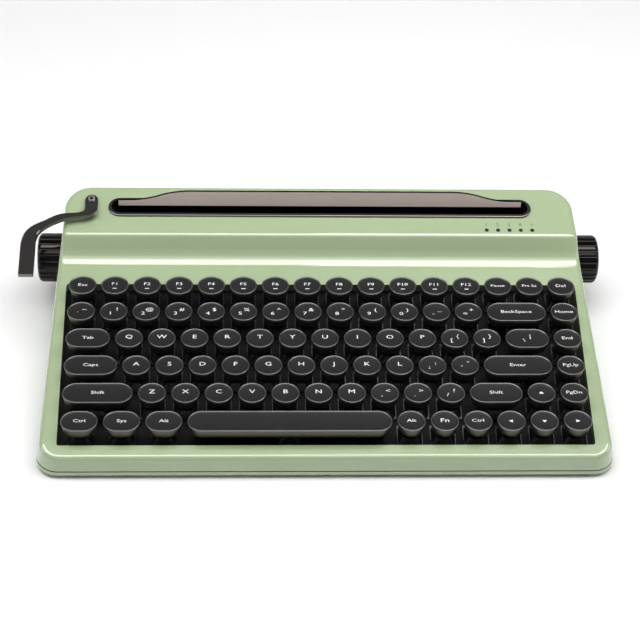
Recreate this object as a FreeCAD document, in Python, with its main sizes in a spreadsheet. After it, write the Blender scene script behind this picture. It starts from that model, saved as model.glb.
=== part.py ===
"""A typewriter-style desktop keyboard: a wedge-shaped case with a raised rear hump, a slot and
paper rest for a tablet, two side knobs, a return lever and 84 round sprung keys.

Lengths are millimetres and angles degrees. Three frames carry the pieces. The desk frame stands on
the desk below the middle of the key block. The key frame lies in the plane of the key tops and
tilts with it. The hump frame lies on the top of the hump, with its origin on the ridge.
"""
import FreeCAD, Part
import math
import os
import re
from FreeCAD import Placement, Rotation, Vector

SIZES = [
    ("pitch", 19.05, "distance between neighbouring key centres"),
    ("well_side", 1.0, "from the outermost keys' cells to the opening's side"),
    ("well_near", 1.05, "from the front keys' cells forward to the opening's edge"),
    ("well_far", 2.25, "from the rear keys' cells forward to the opening's rear edge"),
    ("side_border", 12.6, "from the opening's side out to the case bottom's side"),
    ("front_border", 6.1, "from the opening's front edge to the case bottom's front"),
    ("hump_set_back", 27.1, "from the opening's rear edge back to the hump's ridge"),
    ("hump_depth", 40.0, "from the hump's ridge back to the case bottom's rear"),
    ("hump_rise", 10.813, "height of the ridge above the deck's plane"),
    ("tilt", 13, "slope of the key plane"),
    ("front_key_height", 26.306, "height of the key tops' plane above the desk, at the front keys' cells"),
    ("key_top_height", "=front_key_height + 3 * pitch * tan(tilt * 1deg)", "height of the middle of the key tops above the desk"),
    ("foot_height", 1.5, "height of the case bottom above the desk"),
    ("base_half_width", "=well_half_width + side_border", "half width of the case at its bottom"),
    ("front_reach", "=well_front + front_border", "from the middle of the keys forward to the case bottom's front"),
    ("rear_reach", "=ridge_reach + hump_depth", "from the middle of the keys back to the case bottom's rear"),
    ("side_draft", 0.16, "how far a side wall leans in per millimetre of height"),
    ("front_draft", 0.08, "how far the front wall leans in per millimetre of height"),
    ("rear_draft", 0.03, "how far the rear wall leans in per millimetre of height"),
    ("front_corner", 13.0, "radius of the front corners in plan"),
    ("rear_corner", 16.0, "radius of the rear corners in plan"),
    ("edge_radius", 3.5, "rounding of the top edges"),
    ("wall", 2.4, "thickness of the case"),
    ("floor_thickness", 2.0, "thickness of the lower shell's floor"),
    ("parting_height", 5.9, "height of the joint between the two shells"),
    ("shadow_gap", 0.6, "height and depth of the groove along the joint of the shells"),
    ("lip_height", 1.6, "how far the lower shell's lip rises inside the upper shell"),
    ("lip_thickness", 1.2, "thickness of that lip"),
    ("deck_depth", 9.3, "from the key tops down to the deck round the keys"),
    ("ridge_reach", "=well_rear + hump_set_back", "from the middle of the keys back to the hump's ridge"),
    ("ridge_height", "=key_top_height - deck_depth / cos(tilt * 1deg) + ridge_reach * tan(tilt * 1deg) + hump_rise", "height of the hump's ridge above the desk"),
    ("hump_tilt", 13, "slope of the hump's top"),
    ("hump_face", 59, "slope of the hump's steep front face"),
    ("foot_radius", 14.0, "hollow rounding where the deck meets the hump"),
    ("ridge_radius", "=edge_radius + 0.3", "rounding of the hump's ridge"),
    ("well_half_width", "=8 * pitch + well_side", "half width of the opening round the keys"),
    ("well_front", "=3 * pitch + well_near", "from the middle of the keys forward to the opening's edge"),
    ("well_rear", "=3 * pitch - well_far", "from the middle of the keys back to the opening's edge"),
    ("well_corner", 1.6, "radius of the opening's corners"),
    ("well_wall", 1.8, "thickness of the opening's own wall"),
    ("plate_depth", 16.0, "from the key tops down to the switch plate"),
    ("plate_thickness", 1.5, "thickness of the switch plate"),
    ("plate_lap", 1.4, "how far the plate reaches under the opening's wall"),
    ("board_gap", 5.0, "from the plate's top down to the circuit board"),
    ("board_thickness", 1.6, "thickness of the circuit boards"),
    ("cap_radius", "=pitch / 2 - 1.375", "radius of a key's top ring"),
    ("skirt_radius", "=cap_radius - 0.3", "radius of a key's skirt below the ring"),
    ("skirt_foot_radius", "=cap_radius - 1.05", "radius of the skirt at its bottom"),
    ("ring_height", 0.9, "height of the ring"),
    ("ring_width", 0.9, "width of the ring seen from above"),
    ("dish_depth", 0.45, "depth of the key's top below the ring's edge"),
    ("skirt_height", 6.3, "height of the whole cap"),
    ("cap_top", 1.4, "thickness of the cap's top"),
    ("skirt_wall", 0.8, "thickness of the skirt"),
    ("boss_radius", 2.6, "radius of the socket under the cap"),
    ("stem_radius", 2.0, "radius of the stem's post in that socket"),
    ("stem_grip", 3.6, "how far the post enters the socket"),
    ("stem_shoulder", 0.4, "clearance between a cap's socket and the switch below it"),
    ("travel", 3.6, "how far a key goes down"),
    ("switch_size", "=pitch - 5.15", "width of a switch below the plate"),
    ("switch_flange", "=switch_size + 0.7", "width of a switch's flange on the plate"),
    ("switch_top", "=switch_size - 5.1", "width of a switch at its top"),
    ("switch_rim", 1.0, "thickness of that flange"),
    ("switch_corner", 2.8, "rounding of a switch's upright corners"),
    ("switch_floor", 0.6, "thickness of a switch's bottom"),
    ("switch_height", 5.4, "height of a switch above the plate"),
    ("slider_width", 6.4, "width of the slider inside a switch"),
    ("slider_depth", 5.6, "depth of the slider, front to back"),
    ("slider_height", 5.6, "height of the slider"),
    ("slide_gap", 0.4, "clearance round a slider"),
    ("plate_gap", 0.05, "clearance round a switch in its plate hole"),
    ("stabiliser_near", 11.95, "from a key's middle to its stabiliser, on two-unit keys"),
    ("stabiliser_far", 50.0, "from the space bar's middle to its stabiliser"),
    ("stabiliser_width", 7.0, "width of a stabiliser housing"),
    ("stabiliser_length", 12.0, "length of a stabiliser housing, front to back"),
    ("stabiliser_slider", 5.2, "width of a stabiliser's slider"),
    ("stabiliser_height", 4.2, "height of a stabiliser housing above the plate"),
    ("standoff_radius", 2.4, "radius of the standoffs under the plate"),
    ("standoff_hole", 3.0, "radius of the holes that the standoffs pass in the board"),
    ("screw_radius", 1.5, "radius of the small screws"),
    ("screw_head_radius", 2.1, "radius of their heads"),
    ("screw_head_height", 1.4, "height of their heads"),
    ("plate_screw_length", 6.0, "length of a plate screw below its head"),
    ("case_screw_length", 10.0, "length of a case screw below its head"),
    ("post_radius", 3.6, "radius of the upper shell's screw posts"),
    ("post_set_back", 11.1, "from the opening back to the front screw posts"),
    ("rear_post_inset", 9.0, "from the case bottom's rear forward to the rear screw posts"),
    ("post_inset", 14.9, "from the lever's pivot inwards to the outer screw posts"),
    ("post_reach", "=well_rear + post_set_back", "from the middle of the keys back to the front screw posts"),
    ("rear_post_reach", "=rear_reach - rear_post_inset", "from the middle of the keys back to the rear screw posts"),
    ("post_outer", "=lever_side - post_inset", "from the middle to the outer screw posts"),
    ("post_inner", 47.0, "from the middle to the inner screw posts"),
    ("rubber_radius", 6.0, "radius of a rubber foot"),
    ("rubber_inset", 17.0, "from the case bottom's edges in to the rubber feet"),
    ("rubber_recess", 0.8, "depth of the recess that a foot sits in"),
    ("rubber_side", "=base_half_width - rubber_inset", "from the middle to a rubber foot"),
    ("rubber_front", "=front_reach - rubber_inset", "from the middle of the keys forward to the front feet"),
    ("rubber_rear", "=rear_reach - rubber_inset", "from the middle of the keys back to the rear feet"),
    ("trim_half_length", "=base_half_width - trim_inset", "half length of the slot's trim"),
    ("trim_middle", 20.75, "from the ridge back to the middle of the slot, on the hump"),
    ("trim_half_width", 7.05, "half width of the trim"),
    ("trim_rim", 1.9, "width of the trim's visible rim"),
    ("trim_inset", 36.2, "from the case bottom's side in to the trim's end"),
    ("trim_thickness", 1.2, "height of the rim above the hump"),
    ("trim_neck", 1.5, "wall of the trim's neck in the slot"),
    ("trim_neck_depth", 5.0, "how far the neck goes down"),
    ("slot_depth", 15.0, "depth of the slot below the hump"),
    ("tray_wall", 1.5, "wall of the tray that lines the slot"),
    ("rest_flat", "=rest_sweep - rest_curve", "half length of the paper rest's level edge"),
    ("rest_sweep", "=rest_end - rest_tail", "from the middle to where the rest's edge is level again"),
    ("rest_end", "=trim_half_length - rest_inset", "half length of the paper rest"),
    ("rest_back", 21.4, "from the ridge back to the paper rest's front face, on the hump"),
    ("rest_inset", 6.3, "from the trim's end in to the rest's end"),
    ("rest_tail", 6.5, "length of the rest's low level ends"),
    ("rest_curve", 37.0, "length of the rest's swept edge"),
    ("rest_height", 10.4, "height of the paper rest above the rim"),
    ("rest_low", 3.9, "height of the paper rest at its ends"),
    ("rest_thickness", 1.6, "thickness of the paper rest"),
    ("rest_lean", 3, "how far the paper rest leans back"),
    ("knob_radius", 15.0, "radius of the knobs over their ridges"),
    ("knob_proud", 7.4, "how far a knob's face stands outside the case bottom"),
    ("knob_set_back", 13.0, "from the ridge back to the knobs' axis"),
    ("knob_reach", "=base_half_width + knob_proud", "from the middle to a knob's outer face"),
    ("knob_length", 15.6, "length of a knob"),
    ("knob_round", 3.0, "rounding of a knob's outer edge"),
    ("knob_flute", 0.95, "radius of the flutes along a knob"),
    ("knob_flutes", 24, "number of flutes"),
    ("knob_gap", 0.7, "clearance round a knob in its pocket"),
    ("knob_back", "=ridge_reach + knob_set_back", "from the middle of the keys back to the knobs' axis"),
    ("knob_height", "=ridge_height - 29.1", "height of the knobs' axis above the desk"),
    ("shaft_radius", 3.0, "radius of the knob shafts"),
    ("shaft_gap", 0.05, "running clearance round a shaft"),
    ("shaft_in_knob", 9.0, "how far a shaft enters its knob"),
    ("encoder_size", 12.0, "width and height of an encoder"),
    ("encoder_length", 7.0, "length of an encoder along the shaft"),
    ("bush_radius", 4.5, "radius of an encoder's threaded bush"),
    ("light_first", "=trim_half_length - light_inset", "from the middle to the first indicator light"),
    ("light_pitch", 7.0, "distance between indicator lights"),
    ("light_back", 4.4, "from the ridge back to the indicator lights"),
    ("light_radius", 1.3, "radius of an indicator light"),
    ("light_length", 6.0, "length of a light pipe"),
    ("light_count", 5, "number of indicator lights"),
    ("light_inset", 28.5, "from the trim's end in to the first indicator light"),
    ("light_board", 8.0, "width of the board under the light pipes"),
    ("lever_side", "=base_half_width - lever_inset", "from the middle to the lever's pivot"),
    ("lever_back", 24.3, "from the ridge back to the lever's pivot"),
    ("lever_reach", "=knob_reach + lever_outreach", "from the middle to the lever's outer edge"),
    ("lever_forward", 34.6, "from the ridge forward to the lever's tip"),
    ("lever_pad", 7.8, "width of the lever at its pivot"),
    ("lever_inset", 26.1, "from the case bottom's side in to the lever's pivot"),
    ("lever_outreach", 7.1, "how far the lever's edge stands outside the knob's face"),
    ("lever_blade", 8.8, "width of the lever at its tip"),
    ("lever_thickness", 3.4, "thickness of the lever"),
    ("lever_edge", 0.6, "bevel along the lever's edges"),
    ("lever_lift", 0.4, "clearance of the lever's pad above the hump"),
    ("lever_rise", 2.8, "how much higher the blade is than the pad"),
    ("lever_straight", 20.0, "length of the blade's straight run at the tip"),
    ("hub_radius", 3.5, "radius of the lever's hub in the shell"),
    ("hub_gap", 0.05, "running clearance round the hub"),
    ("hub_flange", 5.0, "radius of the collar that keeps the hub in the shell"),
    ("collar_thickness", 1.2, "thickness of that collar"),
    ("hub_length", 12.0, "length of the hub below the lever"),
    ("lever_screw_head", 1.9, "radius of the lever screw's head"),
    ("lever_screw_radius", 1.25, "radius of the lever screw's shank"),
    ("spring_wire", 0.8, "diameter of the lever's spring wire"),
    ("spring_radius", 4.6, "mean radius of the lever's spring"),
    ("spring_turns", 3, "turns of the lever's spring"),
    ("spring_pitch", 1.12, "distance between the spring's turns"),
    ("battery_length", 96.0, "length of the battery pack"),
    ("battery_width", 34.0, "width of the battery pack"),
    ("battery_height", 9.0, "height of the battery pack"),
    ("battery_corner", 1.5, "rounding of the battery pack's edges"),
    ("battery_set_back", 8.0, "from the ridge back to the battery's middle"),
    ("battery_back", "=ridge_reach + battery_set_back", "from the middle of the keys back to the battery's middle"),
    ("control_left", 56.0, "from the middle to the control board's near end"),
    ("control_length", 62.0, "length of the control board"),
    ("control_width", 22.0, "width of the control board"),
    ("control_height", 22.0, "height of the control board above the desk"),
    ("control_rest", 4.0, "from the board's edges to the pillars under it"),
    ("socket_side", 84.0, "from the middle to the charging socket"),
    ("socket_width", 9.0, "width of the charging socket"),
    ("socket_height", 3.2, "height of the charging socket"),
    ("socket_length", 7.4, "length of the charging socket"),
    ("socket_can", 0.4, "thickness of the charging socket's metal can"),
    ("socket_tongue", 0.7, "thickness of the tongue in the charging socket"),
    ("switch_side", 108.0, "from the middle to the power switch"),
    ("switch_slot", 9.0, "length of the power switch's window"),
    ("switch_nub", 4.0, "length of the power switch's nub"),
    ("switch_nub_height", 3.0, "height of the nub"),
    ("switch_stroke", 4.0, "how far the nub slides"),
    ("switch_proud", 0.6, "how far the nub stands out of the rear wall"),
    ("switch_heel", 1.3, "thickness of the nub's heel behind the wall"),
    ("fit_gap", 0.3, "clearance between a moving piece and its window"),
]

# name, row from the rear, left edge in key units, widths in key units
KEYS = [
    ("escape_key", 0, 0.0, [1]),
    ("f1_to_f4_keys", 0, 1.0, [1] * 4),
    ("f5_to_f8_keys", 0, 5.0, [1] * 4),
    ("f9_to_f12_keys", 0, 9.0, [1] * 4),
    ("top_right_keys", 0, 13.0, [1] * 3),
    ("left_number_keys", 1, 0.0, [1] * 6),
    ("right_number_keys", 1, 6.0, [1] * 7),
    ("backspace_key", 1, 13.0, [2]),
    ("home_key", 1, 15.0, [1]),
    ("tab_key", 2, 0.0, [1.5]),
    ("qwert_keys", 2, 1.5, [1] * 5),
    ("yuiop_keys", 2, 6.5, [1] * 7),
    ("backslash_key", 2, 13.5, [1.5]),
    ("end_key", 2, 15.0, [1]),
    ("caps_lock_key", 3, 0.0, [1.75]),
    ("asdfg_keys", 3, 1.75, [1] * 5),
    ("hjkl_keys", 3, 6.75, [1] * 6),
    ("enter_key", 3, 12.75, [2.25]),
    ("page_up_key", 3, 15.0, [1]),
    ("left_shift_key", 4, 0.0, [2.25]),
    ("zxcvb_keys", 4, 2.25, [1] * 5),
    ("nm_keys", 4, 7.25, [1] * 5),
    ("right_shift_key", 4, 12.25, [1.75]),
    ("up_arrow_key", 4, 14.0, [1]),
    ("page_down_key", 4, 15.0, [1]),
    ("left_control_key", 5, 0.0, [1.25]),
    ("system_key", 5, 1.25, [1.25]),
    ("left_alt_key", 5, 2.5, [1.25]),
    ("space_bar", 5, 3.75, [6.25]),
    ("right_modifier_keys", 5, 10.0, [1] * 3),
    ("left_arrow_key", 5, 13.0, [1]),
    ("down_arrow_key", 5, 14.0, [1]),
    ("right_arrow_key", 5, 15.0, [1]),
]
COLUMNS, ROWS = 16, 6
PLATE_SCREWS = [(-6, 2), (6, 2), (-5.7, -2), (5.7, -2)]  # key units, all between two key rows

doc = FreeCAD.newDocument("typewriter_keyboard")
sheet = doc.addObject("Spreadsheet::Sheet", "Sizes")
for line, (alias, number, note) in enumerate(SIZES, 1):
    sheet.set(f"A{line}", note)
    sheet.setAlias(f"B{line}", alias)
for line, (alias, number, note) in enumerate(SIZES, 1):
    sheet.set(f"B{line}", str(number))
doc.recompute()
ALIASES = {alias for alias, _, _ in SIZES}
SUBPARTS = []


class Sheet:
    """The sheet's numbers, read by alias."""

    def __getattr__(self, alias):
        return float(sheet.get(alias))


s = Sheet()
SHIFT = ("(lever_reach - knob_reach) / 2", "(front_reach - rear_reach) / 2")
FRAMES = {
    "desk": (SHIFT[0], SHIFT[1], "0", "0"),
    "keys": (SHIFT[0], SHIFT[1], "key_top_height", "tilt"),
    "hump": (SHIFT[0], SHIFT[1] + " + ridge_reach", "ridge_height", "hump_tilt"),
}


def bind(thing, prop, formula):
    """Tie a property to a formula in the sheet's aliases."""
    known = lambda word: "Sizes." + word[0] if word[0] in ALIASES else word[0]
    thing.setExpression(prop, re.sub(r"[a-z]+(_[a-z]+)*", known, formula))


def seat(thing, frame):
    """Finish a sub-part: its placement follows one of the three frames."""
    x, y, z, angle = FRAMES[frame]
    thing.Placement = Placement(Vector(), Rotation(Vector(1, 0, 0), 1))
    for prop, formula in (("Base.x", x), ("Base.y", y), ("Base.z", z), ("Rotation.Angle", angle)):
        bind(thing, "Placement." + prop, formula)
    SUBPARTS.append(thing)


def feature(name, shape, frame):
    """A sub-part whose shape is worked out from the sheet in code."""
    thing = doc.addObject("Part::Feature", name)
    local = shape.Placement.toMatrix()
    shape.Placement = Placement()
    thing.Shape = shape.transformed(local, copy=True)
    seat(thing, frame)


def box(name, x, y, z, length, width, height):
    """A box from its lowest corner and its three lengths, all formulas."""
    thing = doc.addObject("Part::Box", name)
    for prop, formula in (
        ("Placement.Base.x", x), ("Placement.Base.y", y), ("Placement.Base.z", z),
        ("Length", length), ("Width", width), ("Height", height),
    ):
        bind(thing, prop, formula)
    return thing


def rod(name, x, y, z, radius, height, axis=Vector(0, 0, 1)):
    """A cylinder from the middle of its first end along an axis, its sizes and place formulas."""
    thing = doc.addObject("Part::Cylinder", name)
    thing.Placement = Placement(Vector(), Rotation(Vector(0, 0, 1), axis))
    for prop, formula in (
        ("Placement.Base.x", x), ("Placement.Base.y", y), ("Placement.Base.z", z),
        ("Radius", radius), ("Height", height),
    ):
        bind(thing, prop, formula)
    return thing


def cut(name, base, tool):
    thing = doc.addObject("Part::Cut", name)
    thing.Base, thing.Tool = base, tool
    return thing


def fuse(name, things):
    thing = doc.addObject("Part::MultiFuse", name)
    thing.Shapes = things
    return thing


def block(x, y, z, length, width, height):
    """A plain box shape centred on x and y, standing on z."""
    return Part.makeBox(length, width, height, Vector(x - length / 2, y - width / 2, z))


def stadium(half_length, radius, z):
    """A closed outline of two straight runs and two half circles, lying level at z."""
    if half_length < 1e-6:
        return Part.Wire(Part.Circle(Vector(0, 0, z), Vector(0, 0, 1), radius).toShape())
    e, r = half_length, radius
    corner = [Vector(-e, -r, z), Vector(e, -r, z), Vector(e, r, z), Vector(-e, r, z)]
    return Part.Wire([
        Part.makeLine(corner[0], corner[1]),
        Part.Arc(corner[1], Vector(e + r, 0, z), corner[2]).toShape(),
        Part.makeLine(corner[2], corner[3]),
        Part.Arc(corner[3], Vector(-e - r, 0, z), corner[0]).toShape(),
    ])


def stadium_solid(half_length, low_radius, high_radius, low, high):
    """A solid between two stadium outlines at two heights."""
    ends = [stadium(half_length, low_radius, low), stadium(half_length, high_radius, high)]
    return Part.makeLoft(ends, True, True)


def rounded_plan(inset, z):
    """The case's outline at a height: each wall leans in, the corners stay round."""
    rise = z - s.foot_height
    x = s.base_half_width - s.side_draft * rise - inset
    front = -s.front_reach + s.front_draft * rise + inset
    rear = s.rear_reach - s.rear_draft * rise - inset
    corners = [(-x, front, 1, 1, s.front_corner), (x, front, -1, 1, s.front_corner),
               (x, rear, -1, -1, s.rear_corner), (-x, rear, 1, -1, s.rear_corner)]
    edges, last = [], None
    for n, (cx, cy, sx, sy, radius) in enumerate(corners):
        r = radius - inset
        on_x, on_y = Vector(cx + sx * r, cy, z), Vector(cx, cy + sy * r, z)
        middle = Vector(cx + sx * r * (1 - math.sqrt(0.5)), cy + sy * r * (1 - math.sqrt(0.5)), z)
        begin, end = (on_y, on_x) if n % 2 == 0 else (on_x, on_y)
        if last:
            edges.append(Part.makeLine(last, begin))
        edges.append(Part.Arc(begin, middle, end).toShape())
        last = end
    edges.append(Part.makeLine(last, edges[0].Vertexes[0].Point))
    return Part.Wire(edges)


def crossing(p, p_angle, q, q_angle):
    """Where two lines meet in the side view, each given by a point and its slope in radians."""
    (py, pz), (qy, qz) = p, q
    cross = math.sin(q_angle - p_angle)
    along = ((qy - py) * math.sin(q_angle) - (qz - pz) * math.cos(q_angle)) / cross
    return py + along * math.cos(p_angle), pz + along * math.sin(p_angle)


def case_blank(inset, low):
    """The case as one closed solid above low, its walls moved inwards by inset, its edges sharp."""
    high = s.ridge_height + s.rear_reach * math.tan(math.radians(s.hump_tilt))
    half, reach = s.base_half_width + s.pitch, s.rear_reach + s.front_reach
    deck, face, top = (math.radians(a) for a in (s.tilt, s.hump_face, s.hump_tilt))
    lower = lambda y, z, a: (y + inset * math.sin(a), z - inset * math.cos(a))
    on_deck = lower(0, s.key_top_height - s.deck_depth / math.cos(deck), deck)
    ridge = (s.ridge_reach, s.ridge_height)
    foot = crossing(on_deck, deck, lower(*ridge, face), face)
    crest = crossing(lower(*ridge, face), face, lower(*ridge, top), top)
    outline = [
        (-reach, low), (-reach, foot[1] - (foot[0] + reach) * math.tan(deck)), foot, crest,
        (reach, crest[1] + (reach - crest[0]) * math.tan(top)), (reach, low),
    ]
    side = Part.makePolygon([Vector(-half, y, z) for y, z in outline + outline[:1]])
    solid = Part.Face(side).extrude(Vector(2 * half, 0, 0))
    for (y, z), radius in ((foot, s.foot_radius + inset), (crest, s.ridge_radius - inset)):
        if radius > 0:
            along = [e for e in solid.Edges if all(
                abs(v.Y - y) < 1e-4 and abs(v.Z - z) < 1e-4 for v in e.Vertexes)]
            solid = solid.makeFillet(radius, along)
    plan = Part.makeLoft([rounded_plan(inset, low), rounded_plan(inset, high)], True, True)
    return solid.common(plan)


def is_wall(face):
    """Whether a face of the case blank stands nearly upright, as the drafted walls do."""
    u0, u1, v0, v1 = face.ParameterRange
    normal = face.normalAt((u0 + u1) / 2, (v0 + v1) / 2)
    return abs(normal.z) < 0.3 and abs(normal.z) + 1e-9 < max(abs(normal.x), abs(normal.y)) * 0.4


def round_top(blank):
    """Round the edge that runs all the way round the top of the case."""
    edges = []
    for edge in blank.Edges:
        faces = blank.ancestorsOfType(edge, Part.Face)
        level = min(v.Z for v in edge.Vertexes) < s.foot_height + 0.01
        if len(faces) == 2 and not level and is_wall(faces[0]) != is_wall(faces[1]):
            edges.append(edge)
    return blank.makeFillet(s.edge_radius, edges)


def key_frame():
    return Placement(Vector(0, 0, s.key_top_height), Rotation(Vector(1, 0, 0), s.tilt))


def hump_frame():
    place = Vector(0, s.ridge_reach, s.ridge_height)
    return Placement(place, Rotation(Vector(1, 0, 0), s.hump_tilt))


def placed(shape, frame):
    shape.Placement = frame.multiply(shape.Placement)
    return shape


def well(margin, low, high):
    """The opening round the keys as a solid in the key frame, grown by a margin."""
    width = 2 * (s.well_half_width + margin)
    depth = s.well_front + s.well_rear + 2 * margin
    solid = block(0, (s.well_rear - s.well_front) / 2, low, width, depth, high - low)
    upright = [e for e in solid.Edges if abs(e.Vertexes[0].Z - e.Vertexes[1].Z) > 1]
    return solid.makeFillet(s.well_corner + max(margin, 0), upright)


def slot_prism(half_width, low, high):
    """An upright stadium through the hump at the slot, in the desk frame."""
    middle = s.ridge_reach + s.trim_middle * math.cos(math.radians(s.hump_tilt))
    straight = s.trim_half_length - s.trim_half_width
    solid = stadium_solid(straight, half_width, half_width, low, high)
    solid.translate(Vector(0, middle, 0))
    return solid


def slot_half_width():
    lean = math.cos(math.radians(s.hump_tilt))
    return (s.trim_half_width - s.trim_rim) * lean


def slot_level():
    """The height of the hump's top at the middle of the slot."""
    return s.ridge_height + s.trim_middle * math.sin(math.radians(s.hump_tilt))


def screw_posts():
    return [(x, y) for x in (-s.post_outer, -s.post_inner, s.post_inner, s.post_outer)
            for y in (s.post_reach, s.rear_post_reach)]


def knob_pocket(side, grow, depth):
    """A cylinder from inside a side wall outwards, round the knob's axis."""
    inner = s.knob_reach - s.knob_length - depth
    return Part.makeCylinder(
        s.knob_radius + s.knob_gap + grow, s.knob_length + depth + s.pitch,
        Vector(side * inner, s.knob_back, s.knob_height), Vector(side, 0, 0))


def light_places():
    return [s.light_first + n * s.light_pitch for n in range(int(s.light_count))]


def make_upper_shell():
    """Deck, hump and walls as one moulding, open below, with the well, slot and pockets."""
    outer, inner = round_top(case_blank(0, s.foot_height)), case_blank(s.wall, s.foot_height)
    span = 4 * s.base_half_width
    above = block(0, 0, s.parting_height, span, span, span)
    shell = outer.cut(inner).common(above)
    rim = well(s.well_wall, -s.plate_depth, -s.deck_depth).cut(
        well(0, -2 * s.plate_depth, s.plate_depth))
    parts = [placed(rim, key_frame())]
    parts += [knob_pocket(side, s.wall, s.wall + s.knob_gap) for side in (-1, 1)]
    parts += [
        Part.makeCylinder(s.post_radius, s.ridge_height + s.wall, Vector(x, y, s.parting_height))
        for x, y in screw_posts()
    ]
    inside = [part.common(outer).common(above) for part in parts]
    shell = shell.fuse(inside)
    cuts = [placed(well(0, -2 * s.plate_depth, s.plate_depth), key_frame())]
    cuts += [knob_pocket(side, 0, s.knob_gap) for side in (-1, 1)]
    cuts += [
        Part.makeCylinder(s.bush_radius, s.knob_reach, Vector(0, s.knob_back, s.knob_height),
                          Vector(side, 0, 0)) for side in (-1, 1)
    ]
    cuts.append(slot_prism(slot_half_width() + s.trim_neck, s.parting_height, 2 * s.ridge_height))
    hub = Part.makeCylinder(
        s.hub_radius + s.hub_gap, span, Vector(-s.lever_side, s.lever_back, -span / 2))
    lights = [
        Part.makeCylinder(s.light_radius, s.pitch, Vector(x, s.light_back, -s.pitch / 2))
        for x in light_places()
    ]
    cuts += [placed(hole, hump_frame()) for hole in lights]
    cuts.append(placed(hub.common(block(-s.lever_side, s.lever_back, -s.pitch, s.pitch, s.pitch,
                                        2 * s.pitch)), hump_frame()))
    cuts += [
        Part.makeCylinder(s.screw_radius, s.case_screw_length, Vector(x, y, s.parting_height))
        for x, y in screw_posts()
    ]
    cuts.append(block(s.socket_side, s.rear_reach, socket_level() - s.fit_gap,
                      s.socket_width + 2 * s.fit_gap, 4 * s.wall,
                      s.socket_height + 2 * s.fit_gap))
    cuts.append(block(s.switch_side, s.rear_reach, socket_level() - s.fit_gap, s.switch_slot,
                      4 * s.wall, s.switch_nub_height + 2 * s.fit_gap))
    return shell.cut(cuts)


def socket_level():
    """The underside of the charging socket, which lies on the control board."""
    return s.control_height + s.board_thickness


def make_lower_shell():
    """A shallow tray with a lip inside the upper shell, standoffs and countersunk screw holes."""
    outer = case_blank(0, s.foot_height)
    bottom = [e for e in outer.Edges if all(v.Z < s.foot_height + 0.01 for v in e.Vertexes)]
    outer = outer.makeFillet(s.floor_thickness, bottom)
    span = 4 * s.base_half_width
    below = block(0, 0, 0, span, span, s.parting_height)
    lip_box = block(0, 0, 0, span, span, s.parting_height + s.lip_height)
    floor = s.foot_height + s.floor_thickness
    room = case_blank(s.wall, floor)
    lip_room = case_blank(s.wall + s.lip_thickness, floor)
    tray = outer.common(below).cut(room)
    lip = room.common(lip_box).cut(lip_room)
    groove = outer.cut(case_blank(s.shadow_gap, s.foot_height)).common(
        block(0, 0, s.parting_height - s.shadow_gap, span, span, s.shadow_gap))
    tray = tray.fuse(lip).cut(groove)
    columns = []
    for x, y in plate_screw_places():
        under = -s.plate_depth - s.plate_thickness
        column = Part.makeCylinder(s.standoff_radius, s.pitch * 4, Vector(
            x, y, under - s.pitch * 4))
        columns.append(placed(column, key_frame()).common(block(0, 0, floor, span, span, span)))
    for x, y in screw_posts():
        columns.append(Part.makeCylinder(
            s.post_radius, s.parting_height - floor, Vector(x, y, floor)))
    back = s.rear_reach - s.rear_draft * s.control_height - s.wall - s.control_width
    for x in (s.control_left + s.control_rest, s.control_left + s.control_length - s.control_rest):
        columns.append(Part.makeCylinder(
            s.standoff_radius, s.control_height - floor, Vector(x, back + s.control_rest, floor)))
    tray = tray.fuse(columns)
    holes = []
    for x, y in screw_posts():
        holes.append(Part.makeCylinder(s.screw_radius, s.pitch, Vector(x, y, 0)))
        holes.append(Part.makeCylinder(
            s.screw_head_radius, s.foot_height + s.screw_head_height, Vector(x, y, 0)))
    for x, y in plate_screw_places():
        top = -s.plate_depth - s.plate_thickness
        holes.append(placed(Part.makeCylinder(s.screw_radius, s.plate_screw_length, Vector(
            x, y, top - s.plate_screw_length)), key_frame()))
    for x, y in rubber_places():
        holes.append(Part.makeCylinder(
            s.rubber_radius, s.foot_height + s.rubber_recess, Vector(x, y, 0)))
    return tray.cut(holes)


def plate_screw_places():
    return [(x * s.pitch, y * s.pitch - switch_back()) for x, y in PLATE_SCREWS]


def rubber_places():
    return [(x, y) for x in (-s.rubber_side, s.rubber_side) for y in (-s.rubber_front, s.rubber_rear)]


def make_rubber_feet():
    height = s.foot_height + s.rubber_recess
    feet = [Part.makeCylinder(s.rubber_radius, height, Vector(x, y, 0)) for x, y in rubber_places()]
    return Part.Compound(feet)


def screw(length, head_radius, head_height, radius):
    """A screw along +Z: the shank up from z = 0, the head below it, with a cross recess."""
    body = Part.makeCylinder(head_radius, head_height, Vector(0, 0, -head_height))
    body = body.fuse(Part.makeCylinder(radius, length))
    arm = head_radius * 1.2
    for size in ((arm, arm / 4), (arm / 4, arm)):
        body = body.cut(block(0, 0, -head_height, size[0], size[1], head_height / 2))
    return body


def make_case_screws():
    """Eight screws up through the lower shell, and four down through the switch plate."""
    screws = []
    for x, y in screw_posts():
        one = screw(s.case_screw_length, s.screw_head_radius, s.screw_head_height, s.screw_radius)
        one.Placement = Placement(
            Vector(x, y, s.foot_height + s.screw_head_height), Rotation())
        screws.append(one)
    for x, y in plate_screw_places():
        one = screw(s.plate_screw_length + s.plate_thickness, s.screw_head_radius,
                    s.screw_head_height, s.screw_radius)
        one.Placement = Placement(Vector(x, y, -s.plate_depth), Rotation(Vector(1, 0, 0), 180))
        screws.append(placed(one, key_frame()))
    return Part.Compound(screws)


def key_places():
    """Every key's node, middle in the key frame and width in key units."""
    for node, row, left, widths in KEYS:
        edge = left
        for width in widths:
            x = (edge + width / 2 - COLUMNS / 2) * s.pitch
            yield node, x, ((ROWS - 1) / 2 - row) * s.pitch, width
            edge += width


def switch_back():
    """How far a switch's middle lies in front of its key's: the upright cap leans that much."""
    return s.skirt_height * math.sin(math.radians(s.tilt))


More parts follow.
